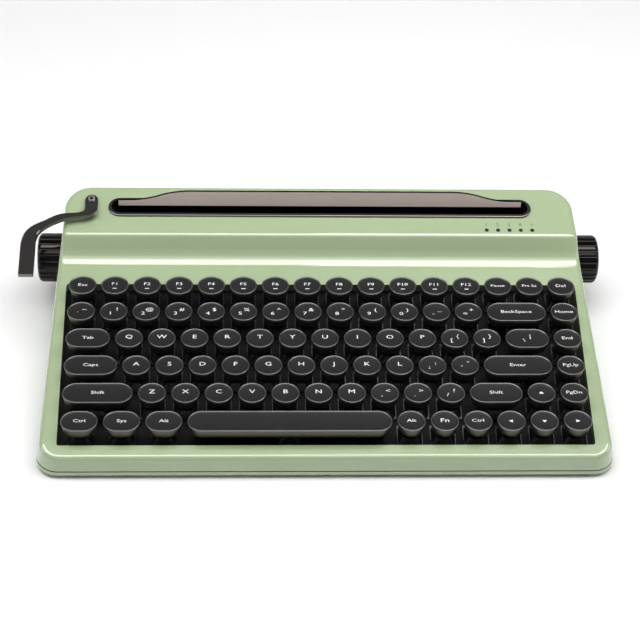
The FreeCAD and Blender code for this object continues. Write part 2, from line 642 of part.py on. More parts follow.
def stem_offsets(width):
    """Where a key's stems stand, left and right of its middle: wide keys have stabilisers."""
    if width < 2:
        return []
    reach = s.stabiliser_far if width > 4 else s.stabiliser_near
    return [-reach, reach]


def make_switch_plate():
    """The steel plate that the switches clip into, with a square hole for each."""
    margin = s.plate_lap
    plate = well(margin, -s.plate_depth - s.plate_thickness, -s.plate_depth)
    low, height = -s.plate_depth - 2 * s.plate_thickness, 3 * s.plate_thickness
    holes = []
    for _, x, y, width in key_places():
        size = s.switch_size + 2 * s.plate_gap
        holes.append(block(x, y - switch_back(), low, size, size, height))
        for offset in stem_offsets(width):
            holes.append(block(x + offset, y - switch_back(), low,
                               s.stabiliser_width + 2 * s.plate_gap,
                               s.stabiliser_length + 2 * s.plate_gap, height))
    for x, y in plate_screw_places():
        holes.append(Part.makeCylinder(s.screw_radius, height, Vector(x, y, low)))
    return plate.cut(holes)


def make_circuit_board():
    """The board under the switches, with holes round the standoffs."""
    low = -s.plate_depth - s.board_gap - s.board_thickness
    board = well(-s.well_wall, low, low + s.board_thickness)
    holes = [
        Part.makeCylinder(s.standoff_hole, 3 * s.board_thickness, Vector(
            x, y, low - s.board_thickness)) for x, y in plate_screw_places()
    ]
    return board.cut(holes)


def pyramid(low_size, high_size, low, high, corner):
    """A four-sided block that narrows upwards, with rounded upright corners."""
    wires = []
    for size, z in ((low_size, low), (high_size, high)):
        plan = block(0, 0, z, size, size, 1)
        upright = [e for e in plan.Edges if abs(e.Vertexes[0].Z - e.Vertexes[1].Z) > 0.5]
        plan = plan.makeFillet(corner, upright)
        wires.append(min(plan.Faces, key=lambda f: f.CenterOfMass.z).OuterWire)
    return Part.makeLoft(wires, True, True)


def switch_housing():
    """One switch's housing about its own axis, in the key frame's heights."""
    plate, board = -s.plate_depth, -s.plate_depth - s.board_gap
    lower = block(0, 0, board, s.switch_size, s.switch_size, s.board_gap)
    flange = block(0, 0, plate, s.switch_flange, s.switch_flange, s.switch_rim)
    upper = pyramid(s.switch_size, s.switch_top, plate + s.switch_rim, plate + s.switch_height,
                    s.switch_corner)
    room = block(0, 0, board + s.switch_floor, s.slider_width + 2 * s.slide_gap,
                 s.slider_depth + 2 * s.slide_gap, s.board_gap + s.switch_height)
    return lower.fuse([flange, upper]).cut(room).removeSplitter()


def stabiliser_housing():
    board = -s.plate_depth - s.board_gap
    outer = block(0, 0, board, s.stabiliser_width, s.stabiliser_length,
                  s.board_gap + s.stabiliser_height)
    room = block(0, 0, board + s.switch_floor, s.stabiliser_slider + 2 * s.slide_gap,
                 s.slider_depth + 2 * s.slide_gap, s.board_gap + s.switch_height)
    return outer.cut(room)


def make_switch_housings():
    one, copies = switch_housing(), []
    for _, x, y, _ in key_places():
        copies.append(one.translated(Vector(x, y - switch_back(), 0)))
    return Part.Compound(copies)


def make_stabiliser_housings():
    one, copies = stabiliser_housing(), []
    for _, x, y, width in key_places():
        for offset in stem_offsets(width):
            copies.append(one.translated(Vector(x + offset, y - switch_back(), 0)))
    return Part.Compound(copies)


def boss_floor():
    """The height of the bottom of a cap's socket, in the key frame."""
    return -s.plate_depth + s.switch_height + s.stem_grip - s.stem_shoulder


def key_cap(width):
    """One hollow cap, upright, its ring's top at the origin, with a socket over each stem."""
    e = (width - 1) * s.pitch / 2
    ring = -s.ring_height
    body = stadium_solid(e, s.skirt_foot_radius, s.skirt_radius, -s.skirt_height, ring)
    body = body.fuse(stadium_solid(e, s.cap_radius, s.cap_radius, ring, 0))
    dish = s.cap_radius - s.ring_width
    body = body.cut(stadium_solid(e, dish, dish, -s.dish_depth, s.ring_height))
    room_top = -s.dish_depth - s.cap_top
    body = body.cut(stadium_solid(e, s.skirt_foot_radius - s.skirt_wall,
                                  s.skirt_radius - s.skirt_wall, -s.skirt_height, room_top))
    upright = Rotation(Vector(1, 0, 0), -s.tilt)
    body.Placement = Placement(Vector(), upright)
    inside = stadium_solid(e, s.skirt_foot_radius, s.skirt_radius, -2 * s.skirt_height,
                           -s.dish_depth - s.cap_top / 2)
    inside.Placement = Placement(Vector(), upright)
    for offset in [0] + stem_offsets(width):
        low = boss_floor() - s.stem_grip + 1
        boss = Part.makeCylinder(s.boss_radius, -low, Vector(offset, -switch_back(), low))
        body = body.fuse(boss.common(inside))
        body = body.cut(Part.makeCylinder(
            s.stem_radius, s.stem_grip, Vector(offset, -switch_back(), low)))
    return body.removeSplitter()


def key_stem(slider_width):
    """The slider in a switch or stabiliser, and the post that carries the cap."""
    post_top = boss_floor() + 1
    slider_top = -s.plate_depth + s.switch_height
    slider = block(0, 0, slider_top - s.slider_height, slider_width, s.slider_depth,
                   s.slider_height)
    post = Part.makeCylinder(s.stem_radius, post_top - slider_top + 0.5,
                             Vector(0, 0, slider_top - 0.5))
    return slider.fuse(post).removeSplitter()


def make_keys(node):
    """All caps and stems of one node."""
    solids = []
    for name, x, y, width in key_places():
        if name != node:
            continue
        solids.append(key_cap(width).translated(Vector(x, y, 0)))
        stem = Vector(x, y - switch_back(), 0)
        solids.append(key_stem(s.slider_width).translated(stem))
        for offset in stem_offsets(width):
            solids.append(key_stem(s.stabiliser_slider).translated(stem + Vector(offset, 0, 0)))
    return Part.Compound(solids)


def make_slot_trim():
    """A metal rim lying on the hump round the slot, with a neck going down into it."""
    straight = s.trim_half_length - s.trim_half_width
    rim = stadium_solid(straight, s.trim_half_width, s.trim_half_width, 0, s.trim_thickness)
    top = [e for e in rim.Edges if all(v.Z > s.trim_thickness - 0.01 for v in e.Vertexes)]
    rim = rim.makeFillet(s.trim_thickness * 0.6, top)
    rim.translate(Vector(0, s.trim_middle, 0))
    rim = placed(rim, hump_frame())
    low = slot_level() - s.trim_neck_depth
    neck = slot_prism(slot_half_width() + s.trim_neck, low, slot_level() + s.pitch)
    below = placed(block(0, s.trim_middle, -2 * s.pitch, 3 * s.trim_half_length, 4 * s.pitch,
                         2 * s.pitch), hump_frame())
    hole = slot_prism(slot_half_width(), low - 1, slot_level() + s.pitch)
    return rim.fuse(neck.common(below)).cut(hole).removeSplitter()


def make_slot_tray():
    """The tray that closes the slot below the trim's neck."""
    top = slot_level() - s.trim_neck_depth
    floor = slot_level() - s.slot_depth
    outer = slot_prism(slot_half_width() + s.tray_wall, floor - s.tray_wall, top)
    return outer.cut(slot_prism(slot_half_width(), floor, top + 1))


def ogee(start, end):
    """Two equal arcs from one level point to a lower level one."""
    (x0, z0), (x1, z1) = start, end
    run, drop = x1 - x0, z0 - z1
    radius = (run * run + drop * drop) / (4 * drop)
    half = math.asin(run / 2 / radius) / 2 if run > 0 else -math.asin(-run / 2 / radius) / 2
    dx, dz = radius * math.sin(half), radius * (1 - math.cos(half))
    middle = Vector((x0 + x1) / 2, 0, (z0 + z1) / 2)
    first = Part.Arc(Vector(x0, 0, z0), Vector(x0 + dx, 0, z0 - dz), middle).toShape()
    second = Part.Arc(middle, Vector(x1 - dx, 0, z1 + dz), Vector(x1, 0, z1)).toShape()
    return first, second


def make_paper_rest():
    """A bright plate standing in the slot, level in the middle and swept down at its ends."""
    high, low, root = s.rest_height, s.rest_low, -s.slot_depth - s.pitch / 2
    right = ogee((s.rest_flat, high), (s.rest_sweep, low))
    left = ogee((-s.rest_flat, high), (-s.rest_sweep, low))
    points = [Vector(s.rest_sweep, 0, low), Vector(s.rest_end, 0, low),
              Vector(s.rest_end, 0, root), Vector(-s.rest_end, 0, root),
              Vector(-s.rest_end, 0, low), Vector(-s.rest_sweep, 0, low)]
    edges = [Part.makeLine(Vector(-s.rest_flat, 0, high), Vector(s.rest_flat, 0, high))]
    edges += [*right, *left] + [Part.makeLine(a, b) for a, b in zip(points, points[1:])]
    outline = Part.Wire(Part.__sortEdges__(edges))
    plate = Part.Face(outline).extrude(Vector(0, s.rest_thickness, 0))
    plate.rotate(Vector(), Vector(1, 0, 0), -s.rest_lean)
    foot = placed(Part.Vertex(0, s.rest_back, s.trim_thickness), hump_frame()).Point
    plate.translate(foot)
    floor = slot_level() - s.slot_depth
    return plate.cut(block(0, foot.y, floor - s.pitch, 3 * s.rest_end, 4 * s.pitch, s.pitch))


def make_light_pipes():
    pipes = [
        Part.makeCylinder(s.light_radius, s.light_length, Vector(x, s.light_back, -s.light_length))
        for x in light_places()
    ]
    return Part.Compound(pipes)


def make_indicator_board():
    """The small board whose lamps shine into the light pipes."""
    places = light_places()
    middle, length = (places[0] + places[-1]) / 2, places[-1] - places[0] + s.light_board
    return block(middle, s.light_back, -s.light_length - s.board_thickness, length,
                 s.light_board, s.board_thickness)


def make_knob(side):
    """A fluted knob with a rounded outer edge and a blind bore for its shaft."""
    inner, outer = s.knob_reach - s.knob_length, s.knob_reach
    r, e = s.knob_radius, s.knob_round
    across = math.sqrt(0.5)
    axis = lambda x, y: Vector(x, y, 0)
    profile = Part.Wire([
        Part.makeLine(axis(inner, 0), axis(inner, r)),
        Part.makeLine(axis(inner, r), axis(outer - e, r)),
        Part.Arc(axis(outer - e, r), axis(outer - e + e * across, r - e + e * across),
                 axis(outer, r - e)).toShape(),
        Part.makeLine(axis(outer, r - e), axis(outer, 0)),
        Part.makeLine(axis(outer, 0), axis(inner, 0)),
    ])
    knob = Part.Face(profile).revolve(Vector(), Vector(1, 0, 0), 360)
    flutes = []
    for n in range(int(s.knob_flutes)):
        turn = 2 * math.pi * n / s.knob_flutes
        at = Vector(inner - 1, r * math.cos(turn), r * math.sin(turn))
        flutes.append(Part.makeCylinder(s.knob_flute, s.knob_length + 2, at, Vector(1, 0, 0)))
    bore = Part.makeCylinder(s.shaft_radius, s.shaft_in_knob + 1, Vector(inner - 1, 0, 0),
                             Vector(1, 0, 0))
    knob = knob.cut(flutes).cut(bore)
    if side < 0:
        knob = knob.mirror(Vector(), Vector(1, 0, 0))
    knob.translate(Vector(0, s.knob_back, s.knob_height))
    return knob


def encoder_outer():
    """How far from the middle an encoder's front face lies."""
    return s.knob_reach - s.knob_length - s.wall - s.knob_gap


def make_encoders():
    """Two rotary encoders behind the knob pockets, each with a bush through the pocket's floor."""
    both = []
    for side in (-1, 1):
        face = encoder_outer()
        body = block(side * (face - s.encoder_length / 2), s.knob_back,
                     s.knob_height - s.encoder_size / 2, s.encoder_length, s.encoder_size,
                     s.encoder_size)
        at = Vector(side * face, s.knob_back, s.knob_height)
        bush = Part.makeCylinder(s.bush_radius, s.wall, at, Vector(side, 0, 0))
        start = Vector(side * (face - s.encoder_length + 1), s.knob_back, s.knob_height)
        bore = Part.makeCylinder(s.shaft_radius + s.shaft_gap, s.encoder_length + s.pitch, start,
                                 Vector(side, 0, 0))
        both.append(body.fuse(bush).cut(bore).removeSplitter())
    return Part.Compound(both)


def lever_outline():
    """The lever in plan in the hump frame: a round pad, an S-shaped sweep and a straight blade."""
    x, y, half = -s.lever_side, s.lever_back, s.lever_pad / 2
    outer, inner = -s.lever_reach, -s.lever_reach + s.lever_blade
    tip, bend = -s.lever_forward, y - s.lever_pad
    straight = tip + s.lever_straight
    # Both edges are S curves; their middle points bulge so that the bar keeps its width.
    sweep_out = [(x - half, bend), (x - 2 * s.lever_pad, bend - 5), (outer + 14, bend - 10),
                 (outer + 5.5, bend - 15.3), (outer, straight)]
    sweep_in = [(x + half, bend), (x - s.lever_pad, bend - 7.5), (inner + 8, bend - 13.5),
                (inner + 1, bend - 21), (inner, straight)]
    curves = []
    for run, last in ((sweep_out, outer), (sweep_in, inner)):
        spline = Part.BSplineCurve()
        spline.interpolate([Vector(a, b, 0) for a, b in run],
                           InitialTangent=Vector(0, -1, 0), FinalTangent=Vector(0, -1, 0))
        curves.append(spline.toShape())
    line = lambda a, b: Part.makeLine(Vector(*a, 0), Vector(*b, 0))
    edges = curves + [
        line((x - half, y), (x - half, bend)), line((x + half, y), (x + half, bend)),
        line((outer, straight), (outer, tip)), line((inner, straight), (inner, tip)),
        line((outer, tip), (inner, tip)),
        Part.Arc(Vector(x - half, y, 0), Vector(x, y + half, 0), Vector(x + half, y, 0)).toShape(),
    ]
    return Part.Wire(Part.__sortEdges__(edges))


def is_upper_edge(arm, edge):
    """Whether an edge of the lever lies between its top and its side."""
    middle = edge.valueAt((edge.FirstParameter + edge.LastParameter) / 2)
    tilts = []
    for face in arm.ancestorsOfType(edge, Part.Face):
        u, v = face.Surface.parameter(middle)
        tilts.append(face.normalAt(u, v).z)
    return max(tilts) > 0.5 and abs(min(tilts)) < 0.1


def make_lever_arm():
    """A flat bar on the hump that rises off its pad and sweeps round the outside of the knob."""
    low, thick, rise = s.lever_lift, s.lever_thickness, s.lever_rise
    bar = Part.Face(lever_outline()).extrude(Vector(0, 0, low + thick + rise))
    ramp_back, ramp_front = s.lever_back - s.lever_pad / 2, s.lever_back - 1.6 * s.lever_pad
    back, front = s.lever_back + s.lever_pad, -s.lever_forward - 1
    side = [(back, low), (ramp_back, low), (ramp_front, low + rise), (front, low + rise),
            (front, low + rise + thick), (ramp_front, low + rise + thick),
            (ramp_back, low + thick), (back, low + thick), (back, low)]
    band = Part.Face(Part.makePolygon([Vector(-2 * s.lever_reach, y, z) for y, z in side]))
    arm = bar.common(band.extrude(Vector(2 * s.lever_reach, 0, 0))).removeSplitter()
    top = [e for e in arm.Edges if is_upper_edge(arm, e)]
    arm = arm.makeChamfer(s.lever_edge, top)
    hole = Part.makeCylinder(s.lever_screw_radius, s.pitch, Vector(-s.lever_side, s.lever_back, 0))
    return arm.cut(hole).removeSplitter()


def make_lever_hub():
    """The lever's axle: a stub through the shell with a collar below, tapped for the screw."""
    at = Vector(-s.lever_side, s.lever_back, 0)
    top = s.lever_lift
    hub = Part.makeCylinder(s.hub_radius, s.hub_length, at + Vector(0, 0, top - s.hub_length))
    collar_top = -s.wall - s.fit_gap
    collar = Part.makeCylinder(s.hub_flange, s.collar_thickness,
                               at + Vector(0, 0, collar_top - s.collar_thickness))
    hole = Part.makeCylinder(s.lever_screw_radius, s.hub_length / 2,
                             at + Vector(0, 0, top - s.hub_length / 2))
    return hub.fuse(collar).cut(hole).removeSplitter()


def make_lever_screw():
    at = Vector(-s.lever_side, s.lever_back, s.lever_lift + s.lever_thickness)
    one = screw(s.lever_thickness + s.hub_length / 2, s.lever_screw_head, s.lever_screw_head / 2,
                s.lever_screw_radius)
    one.Placement = Placement(at, Rotation(Vector(1, 0, 0), 180))
    return one


def make_lever_spring():
    """A torsion spring round the hub, below its collar."""
    length = s.spring_pitch * s.spring_turns
    top = -s.wall - s.fit_gap - s.collar_thickness - s.spring_wire
    helix = Part.makeHelix(s.spring_pitch, length, s.spring_radius)
    start = helix.Vertexes[0].Point
    ring = Part.Wire(Part.Circle(start, Vector(0, 1, 0.1), s.spring_wire / 2).toShape())
    coil = Part.Wire(helix).makePipeShell([ring], True, True)
    coil.translate(Vector(-s.lever_side, s.lever_back, top - length))
    return coil


def make_bound_pieces():
    """Plain pieces whose sizes are tied to the sheet: boards, battery, shafts and switch."""
    floor = "foot_height + floor_thickness"
    battery = box("battery_blank", "-battery_length / 2", "battery_back - battery_width / 2", floor,
                  "battery_length", "battery_width", "battery_height")
    edges = doc.addObject("Part::Fillet", "battery_pack_rounded")
    edges.Base = battery
    doc.recompute()
    edges.Edges = [(n, s.battery_corner, s.battery_corner)
                   for n in range(1, len(battery.Shape.Edges) + 1)]
    yield "battery_pack", edges
    rear = "rear_reach - rear_draft * control_height - wall"
    board = box("control_board_blank", "control_left", rear + " - fit_gap - control_width",
                "control_height", "control_length", "control_width", "board_thickness")
    yield "control_board", board
    level = "control_height + board_thickness"
    mouth = rear + " + wall - fit_gap - socket_length"
    shell = box("socket_shell", "socket_side - socket_width / 2", mouth, level, "socket_width",
                "socket_length", "socket_height")
    room = box("socket_room", "socket_side - socket_width / 2 + socket_can",
               mouth + " + 2 * socket_can", level + " + socket_can",
               "socket_width - 2 * socket_can", "socket_length", "socket_height - 2 * socket_can")
    tongue = box("socket_tongue_blank", "socket_side - socket_width / 2 + 3 * socket_can", mouth,
                 level + " + socket_height / 2 - socket_tongue / 2",
                 "socket_width - 6 * socket_can", "socket_length - 4 * socket_can",
                 "socket_tongue")
    yield "usb_socket", fuse("usb_socket_whole", [cut("socket_can", shell, room), tongue])
    start = "switch_side - switch_slot / 2 + fit_gap"
    heel_face = rear + " - 2 * fit_gap - switch_heel"
    nub = box("power_nub", start, heel_face, level + " + fit_gap", "switch_nub",
              "switch_heel + 2 * fit_gap + wall + switch_proud", "switch_nub_height - fit_gap")
    heel = box("power_heel", start + " - switch_heel", heel_face, level + " + fit_gap",
               "switch_nub + 2 * switch_heel", "switch_heel", "switch_nub_height + switch_heel")
    yield "power_slider", fuse("power_slider_whole", [nub, heel])
    for side, name in (("-", "left"), ("", "right")):
        inner = "(knob_reach - knob_length - wall - knob_gap - encoder_length + shaft_radius / 2)"
        length = "encoder_length - shaft_radius / 2 + wall + knob_gap + shaft_in_knob"
        axis = Vector(-1 if side else 1, 0, 0)
        shaft = rod(name + "_shaft", side + inner, "knob_back", "knob_height", "shaft_radius",
                    length, axis)
        yield name + "_knob_shaft", shaft


MADE = [
    ("upper_shell", make_upper_shell, "desk"),
    ("lower_shell", make_lower_shell, "desk"),
    ("rubber_feet", make_rubber_feet, "desk"),
    ("case_screws", make_case_screws, "desk"),
    ("switch_plate", make_switch_plate, "keys"),
    ("circuit_board", make_circuit_board, "keys"),
    ("switch_housings", make_switch_housings, "keys"),
    ("stabiliser_housings", make_stabiliser_housings, "keys"),
    ("slot_trim", make_slot_trim, "desk"),
    ("slot_tray", make_slot_tray, "desk"),
    ("paper_rest", make_paper_rest, "desk"),
    ("light_pipes", make_light_pipes, "hump"),
    ("indicator_board", make_indicator_board, "hump"),
    ("encoders", make_encoders, "desk"),
    ("left_knob", lambda: make_knob(-1), "desk"),
    ("right_knob", lambda: make_knob(1), "desk"),
    ("lever_arm", make_lever_arm, "hump"),
    ("lever_hub", make_lever_hub, "hump"),
    ("lever_screw", make_lever_screw, "hump"),
    ("lever_spring", make_lever_spring, "hump"),
]
for node, make, frame in MADE:
    feature(node, make(), frame)
for node, piece in make_bound_pieces():
    whole = doc.addObject("Part::Compound", node)
    whole.Links = [piece]
    seat(whole, "desk")
for node, _, _, _ in KEYS:
    feature(node, make_keys(node), "keys")

doc.recompute()
for thing in doc.Objects:
    if "Invalid" in thing.State or "Error" in thing.State:
        raise RuntimeError(f"{thing.Label} did not rebuild: {thing.State}")
os.makedirs("parts", exist_ok=True)
for thing in SUBPARTS:
    if thing.Shape.isNull() or not thing.Shape.isValid():
        raise RuntimeError(f"{thing.Label} has no valid shape")
    thing.Shape.exportStep(f"parts/{thing.Label}.step")
    print(f"{thing.Label}: {len(thing.Shape.Solids)} solids, {thing.Shape.Volume / 1000:.2f} cm3")
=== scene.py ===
"""A typewriter-style keyboard: glossy sage case, dark plated trim and black round keys.

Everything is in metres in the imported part's own frame: +X to the typist's right, +Y away from
the typist, +Z up, the desk at z = 0.
"""
import math

import bpy
import numpy as np
from mathutils import Matrix, Vector


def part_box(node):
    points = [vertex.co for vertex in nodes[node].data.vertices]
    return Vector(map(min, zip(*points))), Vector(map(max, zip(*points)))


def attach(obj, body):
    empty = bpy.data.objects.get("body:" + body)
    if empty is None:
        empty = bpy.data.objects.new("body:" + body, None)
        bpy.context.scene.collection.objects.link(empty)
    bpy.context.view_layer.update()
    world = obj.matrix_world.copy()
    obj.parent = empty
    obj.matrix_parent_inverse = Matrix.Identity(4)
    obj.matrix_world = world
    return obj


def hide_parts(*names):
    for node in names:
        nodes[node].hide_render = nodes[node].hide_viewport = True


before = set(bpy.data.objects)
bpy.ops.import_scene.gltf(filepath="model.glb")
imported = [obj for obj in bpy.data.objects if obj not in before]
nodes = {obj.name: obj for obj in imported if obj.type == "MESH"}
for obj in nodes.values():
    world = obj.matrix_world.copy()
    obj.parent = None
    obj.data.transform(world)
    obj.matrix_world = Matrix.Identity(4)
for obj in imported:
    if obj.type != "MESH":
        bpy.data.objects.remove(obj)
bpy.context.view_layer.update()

# ---------------------------------------------------------------- case
# Upper and lower shell, moulded in sage-green plastic and lacquered to a wet gloss. The shells
# meet in a groove low on the walls, painted dark as shade, and are held by screws from below.


class Signal:
    """A value in a material's nodes. Arithmetic on it adds Math nodes."""

    def __init__(self, tree, socket=None):
        self.tree, self.socket = tree, socket

    def node(self, kind, settings, sockets, out=0):
        """Add a node: its settings first, then the values or links of its sockets."""
        made = self.tree.nodes.new(kind)
        for name, value in settings.items():
            setattr(made, name, value)
        for name, value in sockets.items():
            if isinstance(value, Signal):
                self.tree.links.new(value.socket, made.inputs[name])
            else:
                made.inputs[name].default_value = value
        return Signal(self.tree, made.outputs[out])

    def maths(self, operation, first, second):
        return self.node("ShaderNodeMath", {"operation": operation}, {0: first, 1: second})

    def __add__(self, other): return self.maths("ADD", self, other)
    def __radd__(self, other): return self.maths("ADD", other, self)
    def __sub__(self, other): return self.maths("SUBTRACT", self, other)
    def __rsub__(self, other): return self.maths("SUBTRACT", other, self)
    def __mul__(self, other): return self.maths("MULTIPLY", self, other)
    def __rmul__(self, other): return self.maths("MULTIPLY", other, self)

    def place(self):
        return self.node("ShaderNodeTexCoord", {}, {}, out="Object")

    def noise(self, scale, detail=2.0, vector=None):
        return self.node("ShaderNodeTexNoise", {}, {
            "Vector": vector or self.place(), "Scale": scale, "Detail": detail})

    def blend(self, factor, first, second):
        return self.node("ShaderNodeMix", {"data_type": "RGBA"}, {
            "Factor": factor, "A": first, "B": second}, out="Result")

    def bump(self, height, strength, distance):
        return self.node("ShaderNodeBump", {}, {
            "Strength": strength, "Distance": distance, "Height": height})


def finish(name, build):
    """A new material: build(signal) gives the values or links of its surface's sockets."""
    material = bpy.data.materials.new(name)
    material.use_nodes = True
    tree = material.node_tree
    surface = tree.nodes["Principled BSDF"]
    for socket, value in build(Signal(tree)).items():
        if isinstance(value, Signal):
            tree.links.new(value.socket, surface.inputs[socket])
        else:
            surface.inputs[socket].default_value = value
    material.diffuse_color = (0.5, 0.5, 0.5, 1)
    return material


def dress(material, *names):
    """Give CAD nodes this material in every slot they have."""
    for name in names:
        slots = nodes[name].material_slots
        if not slots:
            nodes[name].data.materials.append(material)
        for slot in slots:
            slot.material = material


GROOVE_LOW, GROOVE_HIGH = 0.0052, 0.0059


def sage_lacquer(signal):
    """Even sage green with a faint cloudiness and the slight ripple of lacquer; the groove, which
    is known by its height, is left unlacquered and painted dark as shade."""
    cloud = signal.noise(22.0, 3.0)
    height = signal.node("ShaderNodeSeparateXYZ", {}, {"Vector": signal.place()}, out="Z")
    # painted shade: the groove between the shells is painted near-black green
    groove_shade = height.maths("GREATER_THAN", height, GROOVE_LOW) * height.maths(
        "LESS_THAN", height, GROOVE_HIGH)
    lacquer = signal.blend(cloud, (0.325, 0.405, 0.24, 1), (0.35, 0.43, 0.262, 1))
    return {
        "Base Color": signal.blend(groove_shade, lacquer, (0.035, 0.045, 0.025, 1)),
        "Roughness": 0.11 + cloud * 0.05 + groove_shade * 0.5,
        "Normal": signal.bump(signal.noise(150.0, 0.0), 0.03, 0.0004),
        "Coat Weight": 1.0 - groove_shade, "Coat Roughness": 0.03, "Specular IOR Level": 0.7,
    }


SAGE = finish("sage_lacquer", sage_lacquer)
dress(SAGE, "upper_shell", "lower_shell")

# ---------------------------------------------------------------- inside the case
# Steel switch plate, switches, circuit boards, battery and encoders: plain trade parts that show
# only between the keys, through the slot or from below.


def black_paint(signal):
    """Fine textured black powder coat."""
    grain = signal.noise(900.0, 2.0)
    return {
        "Base Color": signal.blend(grain, (0.0015, 0.0015, 0.0015, 1), (0.003, 0.003, 0.003, 1)),
        "Roughness": 0.38 + grain * 0.2, "Specular IOR Level": 0.1,
        "Normal": signal.bump(grain, 0.3, 0.0002),
    }


def black_moulding(signal):
    """Glossy black switch plastic."""
    flow = signal.noise(120.0, 2.0)
    return {
        "Base Color": signal.blend(flow, (0.006, 0.006, 0.007, 1), (0.012, 0.012, 0.013, 1)),
        "Roughness": 0.2 + flow * 0.15,
        "Normal": signal.bump(flow, 0.08, 0.0003),
    }


def plain_steel(signal):
    """Zinc-plated steel with fine wear."""
    wear = signal.noise(500.0, 4.0)
    return {
        "Base Color": signal.blend(wear, (0.42, 0.42, 0.43, 1), (0.6, 0.6, 0.6, 1)),
        "Metallic": 1.0, "Roughness": 0.22 + wear * 0.2,
    }


def green_board(signal):
    """Solder resist over copper tracks."""
    tracks = signal.node("ShaderNodeTexBrick", {"offset": 0.3}, {
        "Vector": signal.place(), "Scale": 260.0, "Mortar Size": 0.06}, out="Fac")
    return {
        "Base Color": signal.blend(tracks, (0.012, 0.075, 0.03, 1), (0.03, 0.16, 0.07, 1)),
        "Roughness": 0.35 - tracks * 0.1,
    }


def foot_rubber(signal):
    """Dull black rubber, lightly dusted."""
    dust = signal.noise(700.0, 3.0)
    return {
        "Base Color": signal.blend(dust, (0.018, 0.018, 0.018, 1), (0.04, 0.04, 0.038, 1)),
        "Roughness": 0.75 + dust * 0.2, "Normal": signal.bump(dust, 0.3, 0.0003),
    }


def cell_wrap(signal):
    """Grey heat-shrunk sleeve."""
    fold = signal.noise(90.0, 3.0)
    return {
        "Base Color": signal.blend(fold, (0.16, 0.17, 0.18, 1), (0.22, 0.23, 0.24, 1)),
        "Roughness": 0.3 + fold * 0.2, "Normal": signal.bump(fold, 0.4, 0.0006),
    }


def dark_lamp(signal):
    """An unlit smoked light pipe."""
    depth = signal.noise(400.0, 1.0)
    return {
        "Base Color": signal.blend(depth, (0.01, 0.012, 0.01, 1), (0.03, 0.035, 0.028, 1)),
        "Roughness": 0.15 + depth * 0.05,
    }


BLACK_PLASTIC = finish("black_moulding", black_moulding)
STEEL = finish("plain_steel", plain_steel)
BOARD = finish("green_board", green_board)
dress(finish("black_paint", black_paint), "switch_plate")
dress(BLACK_PLASTIC, "switch_housings", "stabiliser_housings", "slot_tray", "power_slider")
dress(STEEL, "encoders", "left_knob_shaft", "right_knob_shaft", "lever_spring", "usb_socket")
dress(BOARD, "circuit_board", "control_board", "indicator_board")
dress(finish("foot_rubber", foot_rubber), "rubber_feet")
dress(finish("cell_wrap", cell_wrap), "battery_pack")
dress(finish("dark_lamp", dark_lamp), "light_pipes")

# ---------------------------------------------------------------- plated trim
# The slot's rim, the knobs and the lever are zinc castings in black chrome; the paper rest is
# pressed sheet in a lighter smoked chrome.


def black_chrome(signal):
    """Near-black mirror plating with faint polishing marks."""
    marks = signal.noise(35.0, 5.0)
    return {
        "Base Color": signal.blend(marks, (0.024, 0.022, 0.021, 1), (0.036, 0.034, 0.033, 1)),
        "Metallic": 1.0, "Roughness": 0.07 + marks * 0.06,
        "Normal": signal.bump(signal.noise(300.0, 1.0), 0.03, 0.0003),
    }


def lever_chrome(signal):
    """The same plating, a little lighter."""
    marks = signal.noise(60.0, 4.0)
    return {
        "Base Color": signal.blend(marks, (0.15, 0.141, 0.138, 1), (0.2, 0.188, 0.184, 1)),
        "Metallic": 1.0, "Roughness": 0.06 + marks * 0.06,
    }


HUMP_SLOPE = math.radians(13)
SHADE_TOP = 0.0475
UPWARD = 0.5


def smoked_chrome(signal):
    """Warm grey plating; the upward cut edges are painted black, and the foot in the slot is
    painted black as shade. Height square to the sloping hump is z cos(slope) - y sin(slope)."""
    marks = signal.noise(45.0, 4.0)
    height = signal.node("ShaderNodeSeparateXYZ", {}, {"Vector": signal.place()}, out="Z")
    back = Signal(height.tree, height.socket.node.outputs["Y"])
    above = height * math.cos(HUMP_SLOPE) - back * math.sin(HUMP_SLOPE)
    facing = signal.node("ShaderNodeNewGeometry", {}, {}, out="Normal")
    rise = signal.node("ShaderNodeSeparateXYZ", {}, {"Vector": facing}, out="Z")
    # faces turned upwards, the cut edges of the sheet, are painted black
    cut_edge = rise.maths("GREATER_THAN", rise, UPWARD)
    # painted shade: the rest is painted black low down, where it stands in the slot
    foot = above.maths("LESS_THAN", above, SHADE_TOP)
    plated = signal.blend(marks, (0.67, 0.565, 0.52, 1), (0.72, 0.615, 0.57, 1))
    dark = cut_edge.maths("MAXIMUM", cut_edge, foot)
    return {
        "Base Color": signal.blend(dark, plated, (0.003, 0.003, 0.003, 1)),
        "Metallic": dark, "Roughness": 0.3 + marks * 0.1 + foot * 0.3,
    }


BLACK_CHROME = finish("black_chrome", black_chrome)
SCREW_LOW, SCREW_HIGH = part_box("lever_screw")
SCREW_MIDDLE = (SCREW_LOW[0] + SCREW_HIGH[0]) / 2
HEAD_RADIUS, RECESS_RADIUS = 0.0019, 0.00115


def ringed_steel(signal):
    """Bright steel ring round a recess painted dark as shade; the recess is known by its
    distance from the head's middle."""
    across = signal.node("ShaderNodeSeparateXYZ", {}, {"Vector": signal.place()}, out="X")
    along = Signal(across.tree, across.socket.node.outputs["Y"])
    side, ahead = across - SCREW_MIDDLE, along - (SCREW_LOW[1] + HEAD_RADIUS)
    recess_shade = across.maths("LESS_THAN", side * side + ahead * ahead, RECESS_RADIUS ** 2)
    brush = signal.noise(900.0, 2.0)
    return {
        # painted shade: the screw's recess is painted near-black
        "Base Color": signal.blend(recess_shade, (0.62, 0.6, 0.58, 1), (0.02, 0.02, 0.02, 1)),
        "Metallic": 1.0, "Roughness": 0.25 + brush * 0.1,
    }


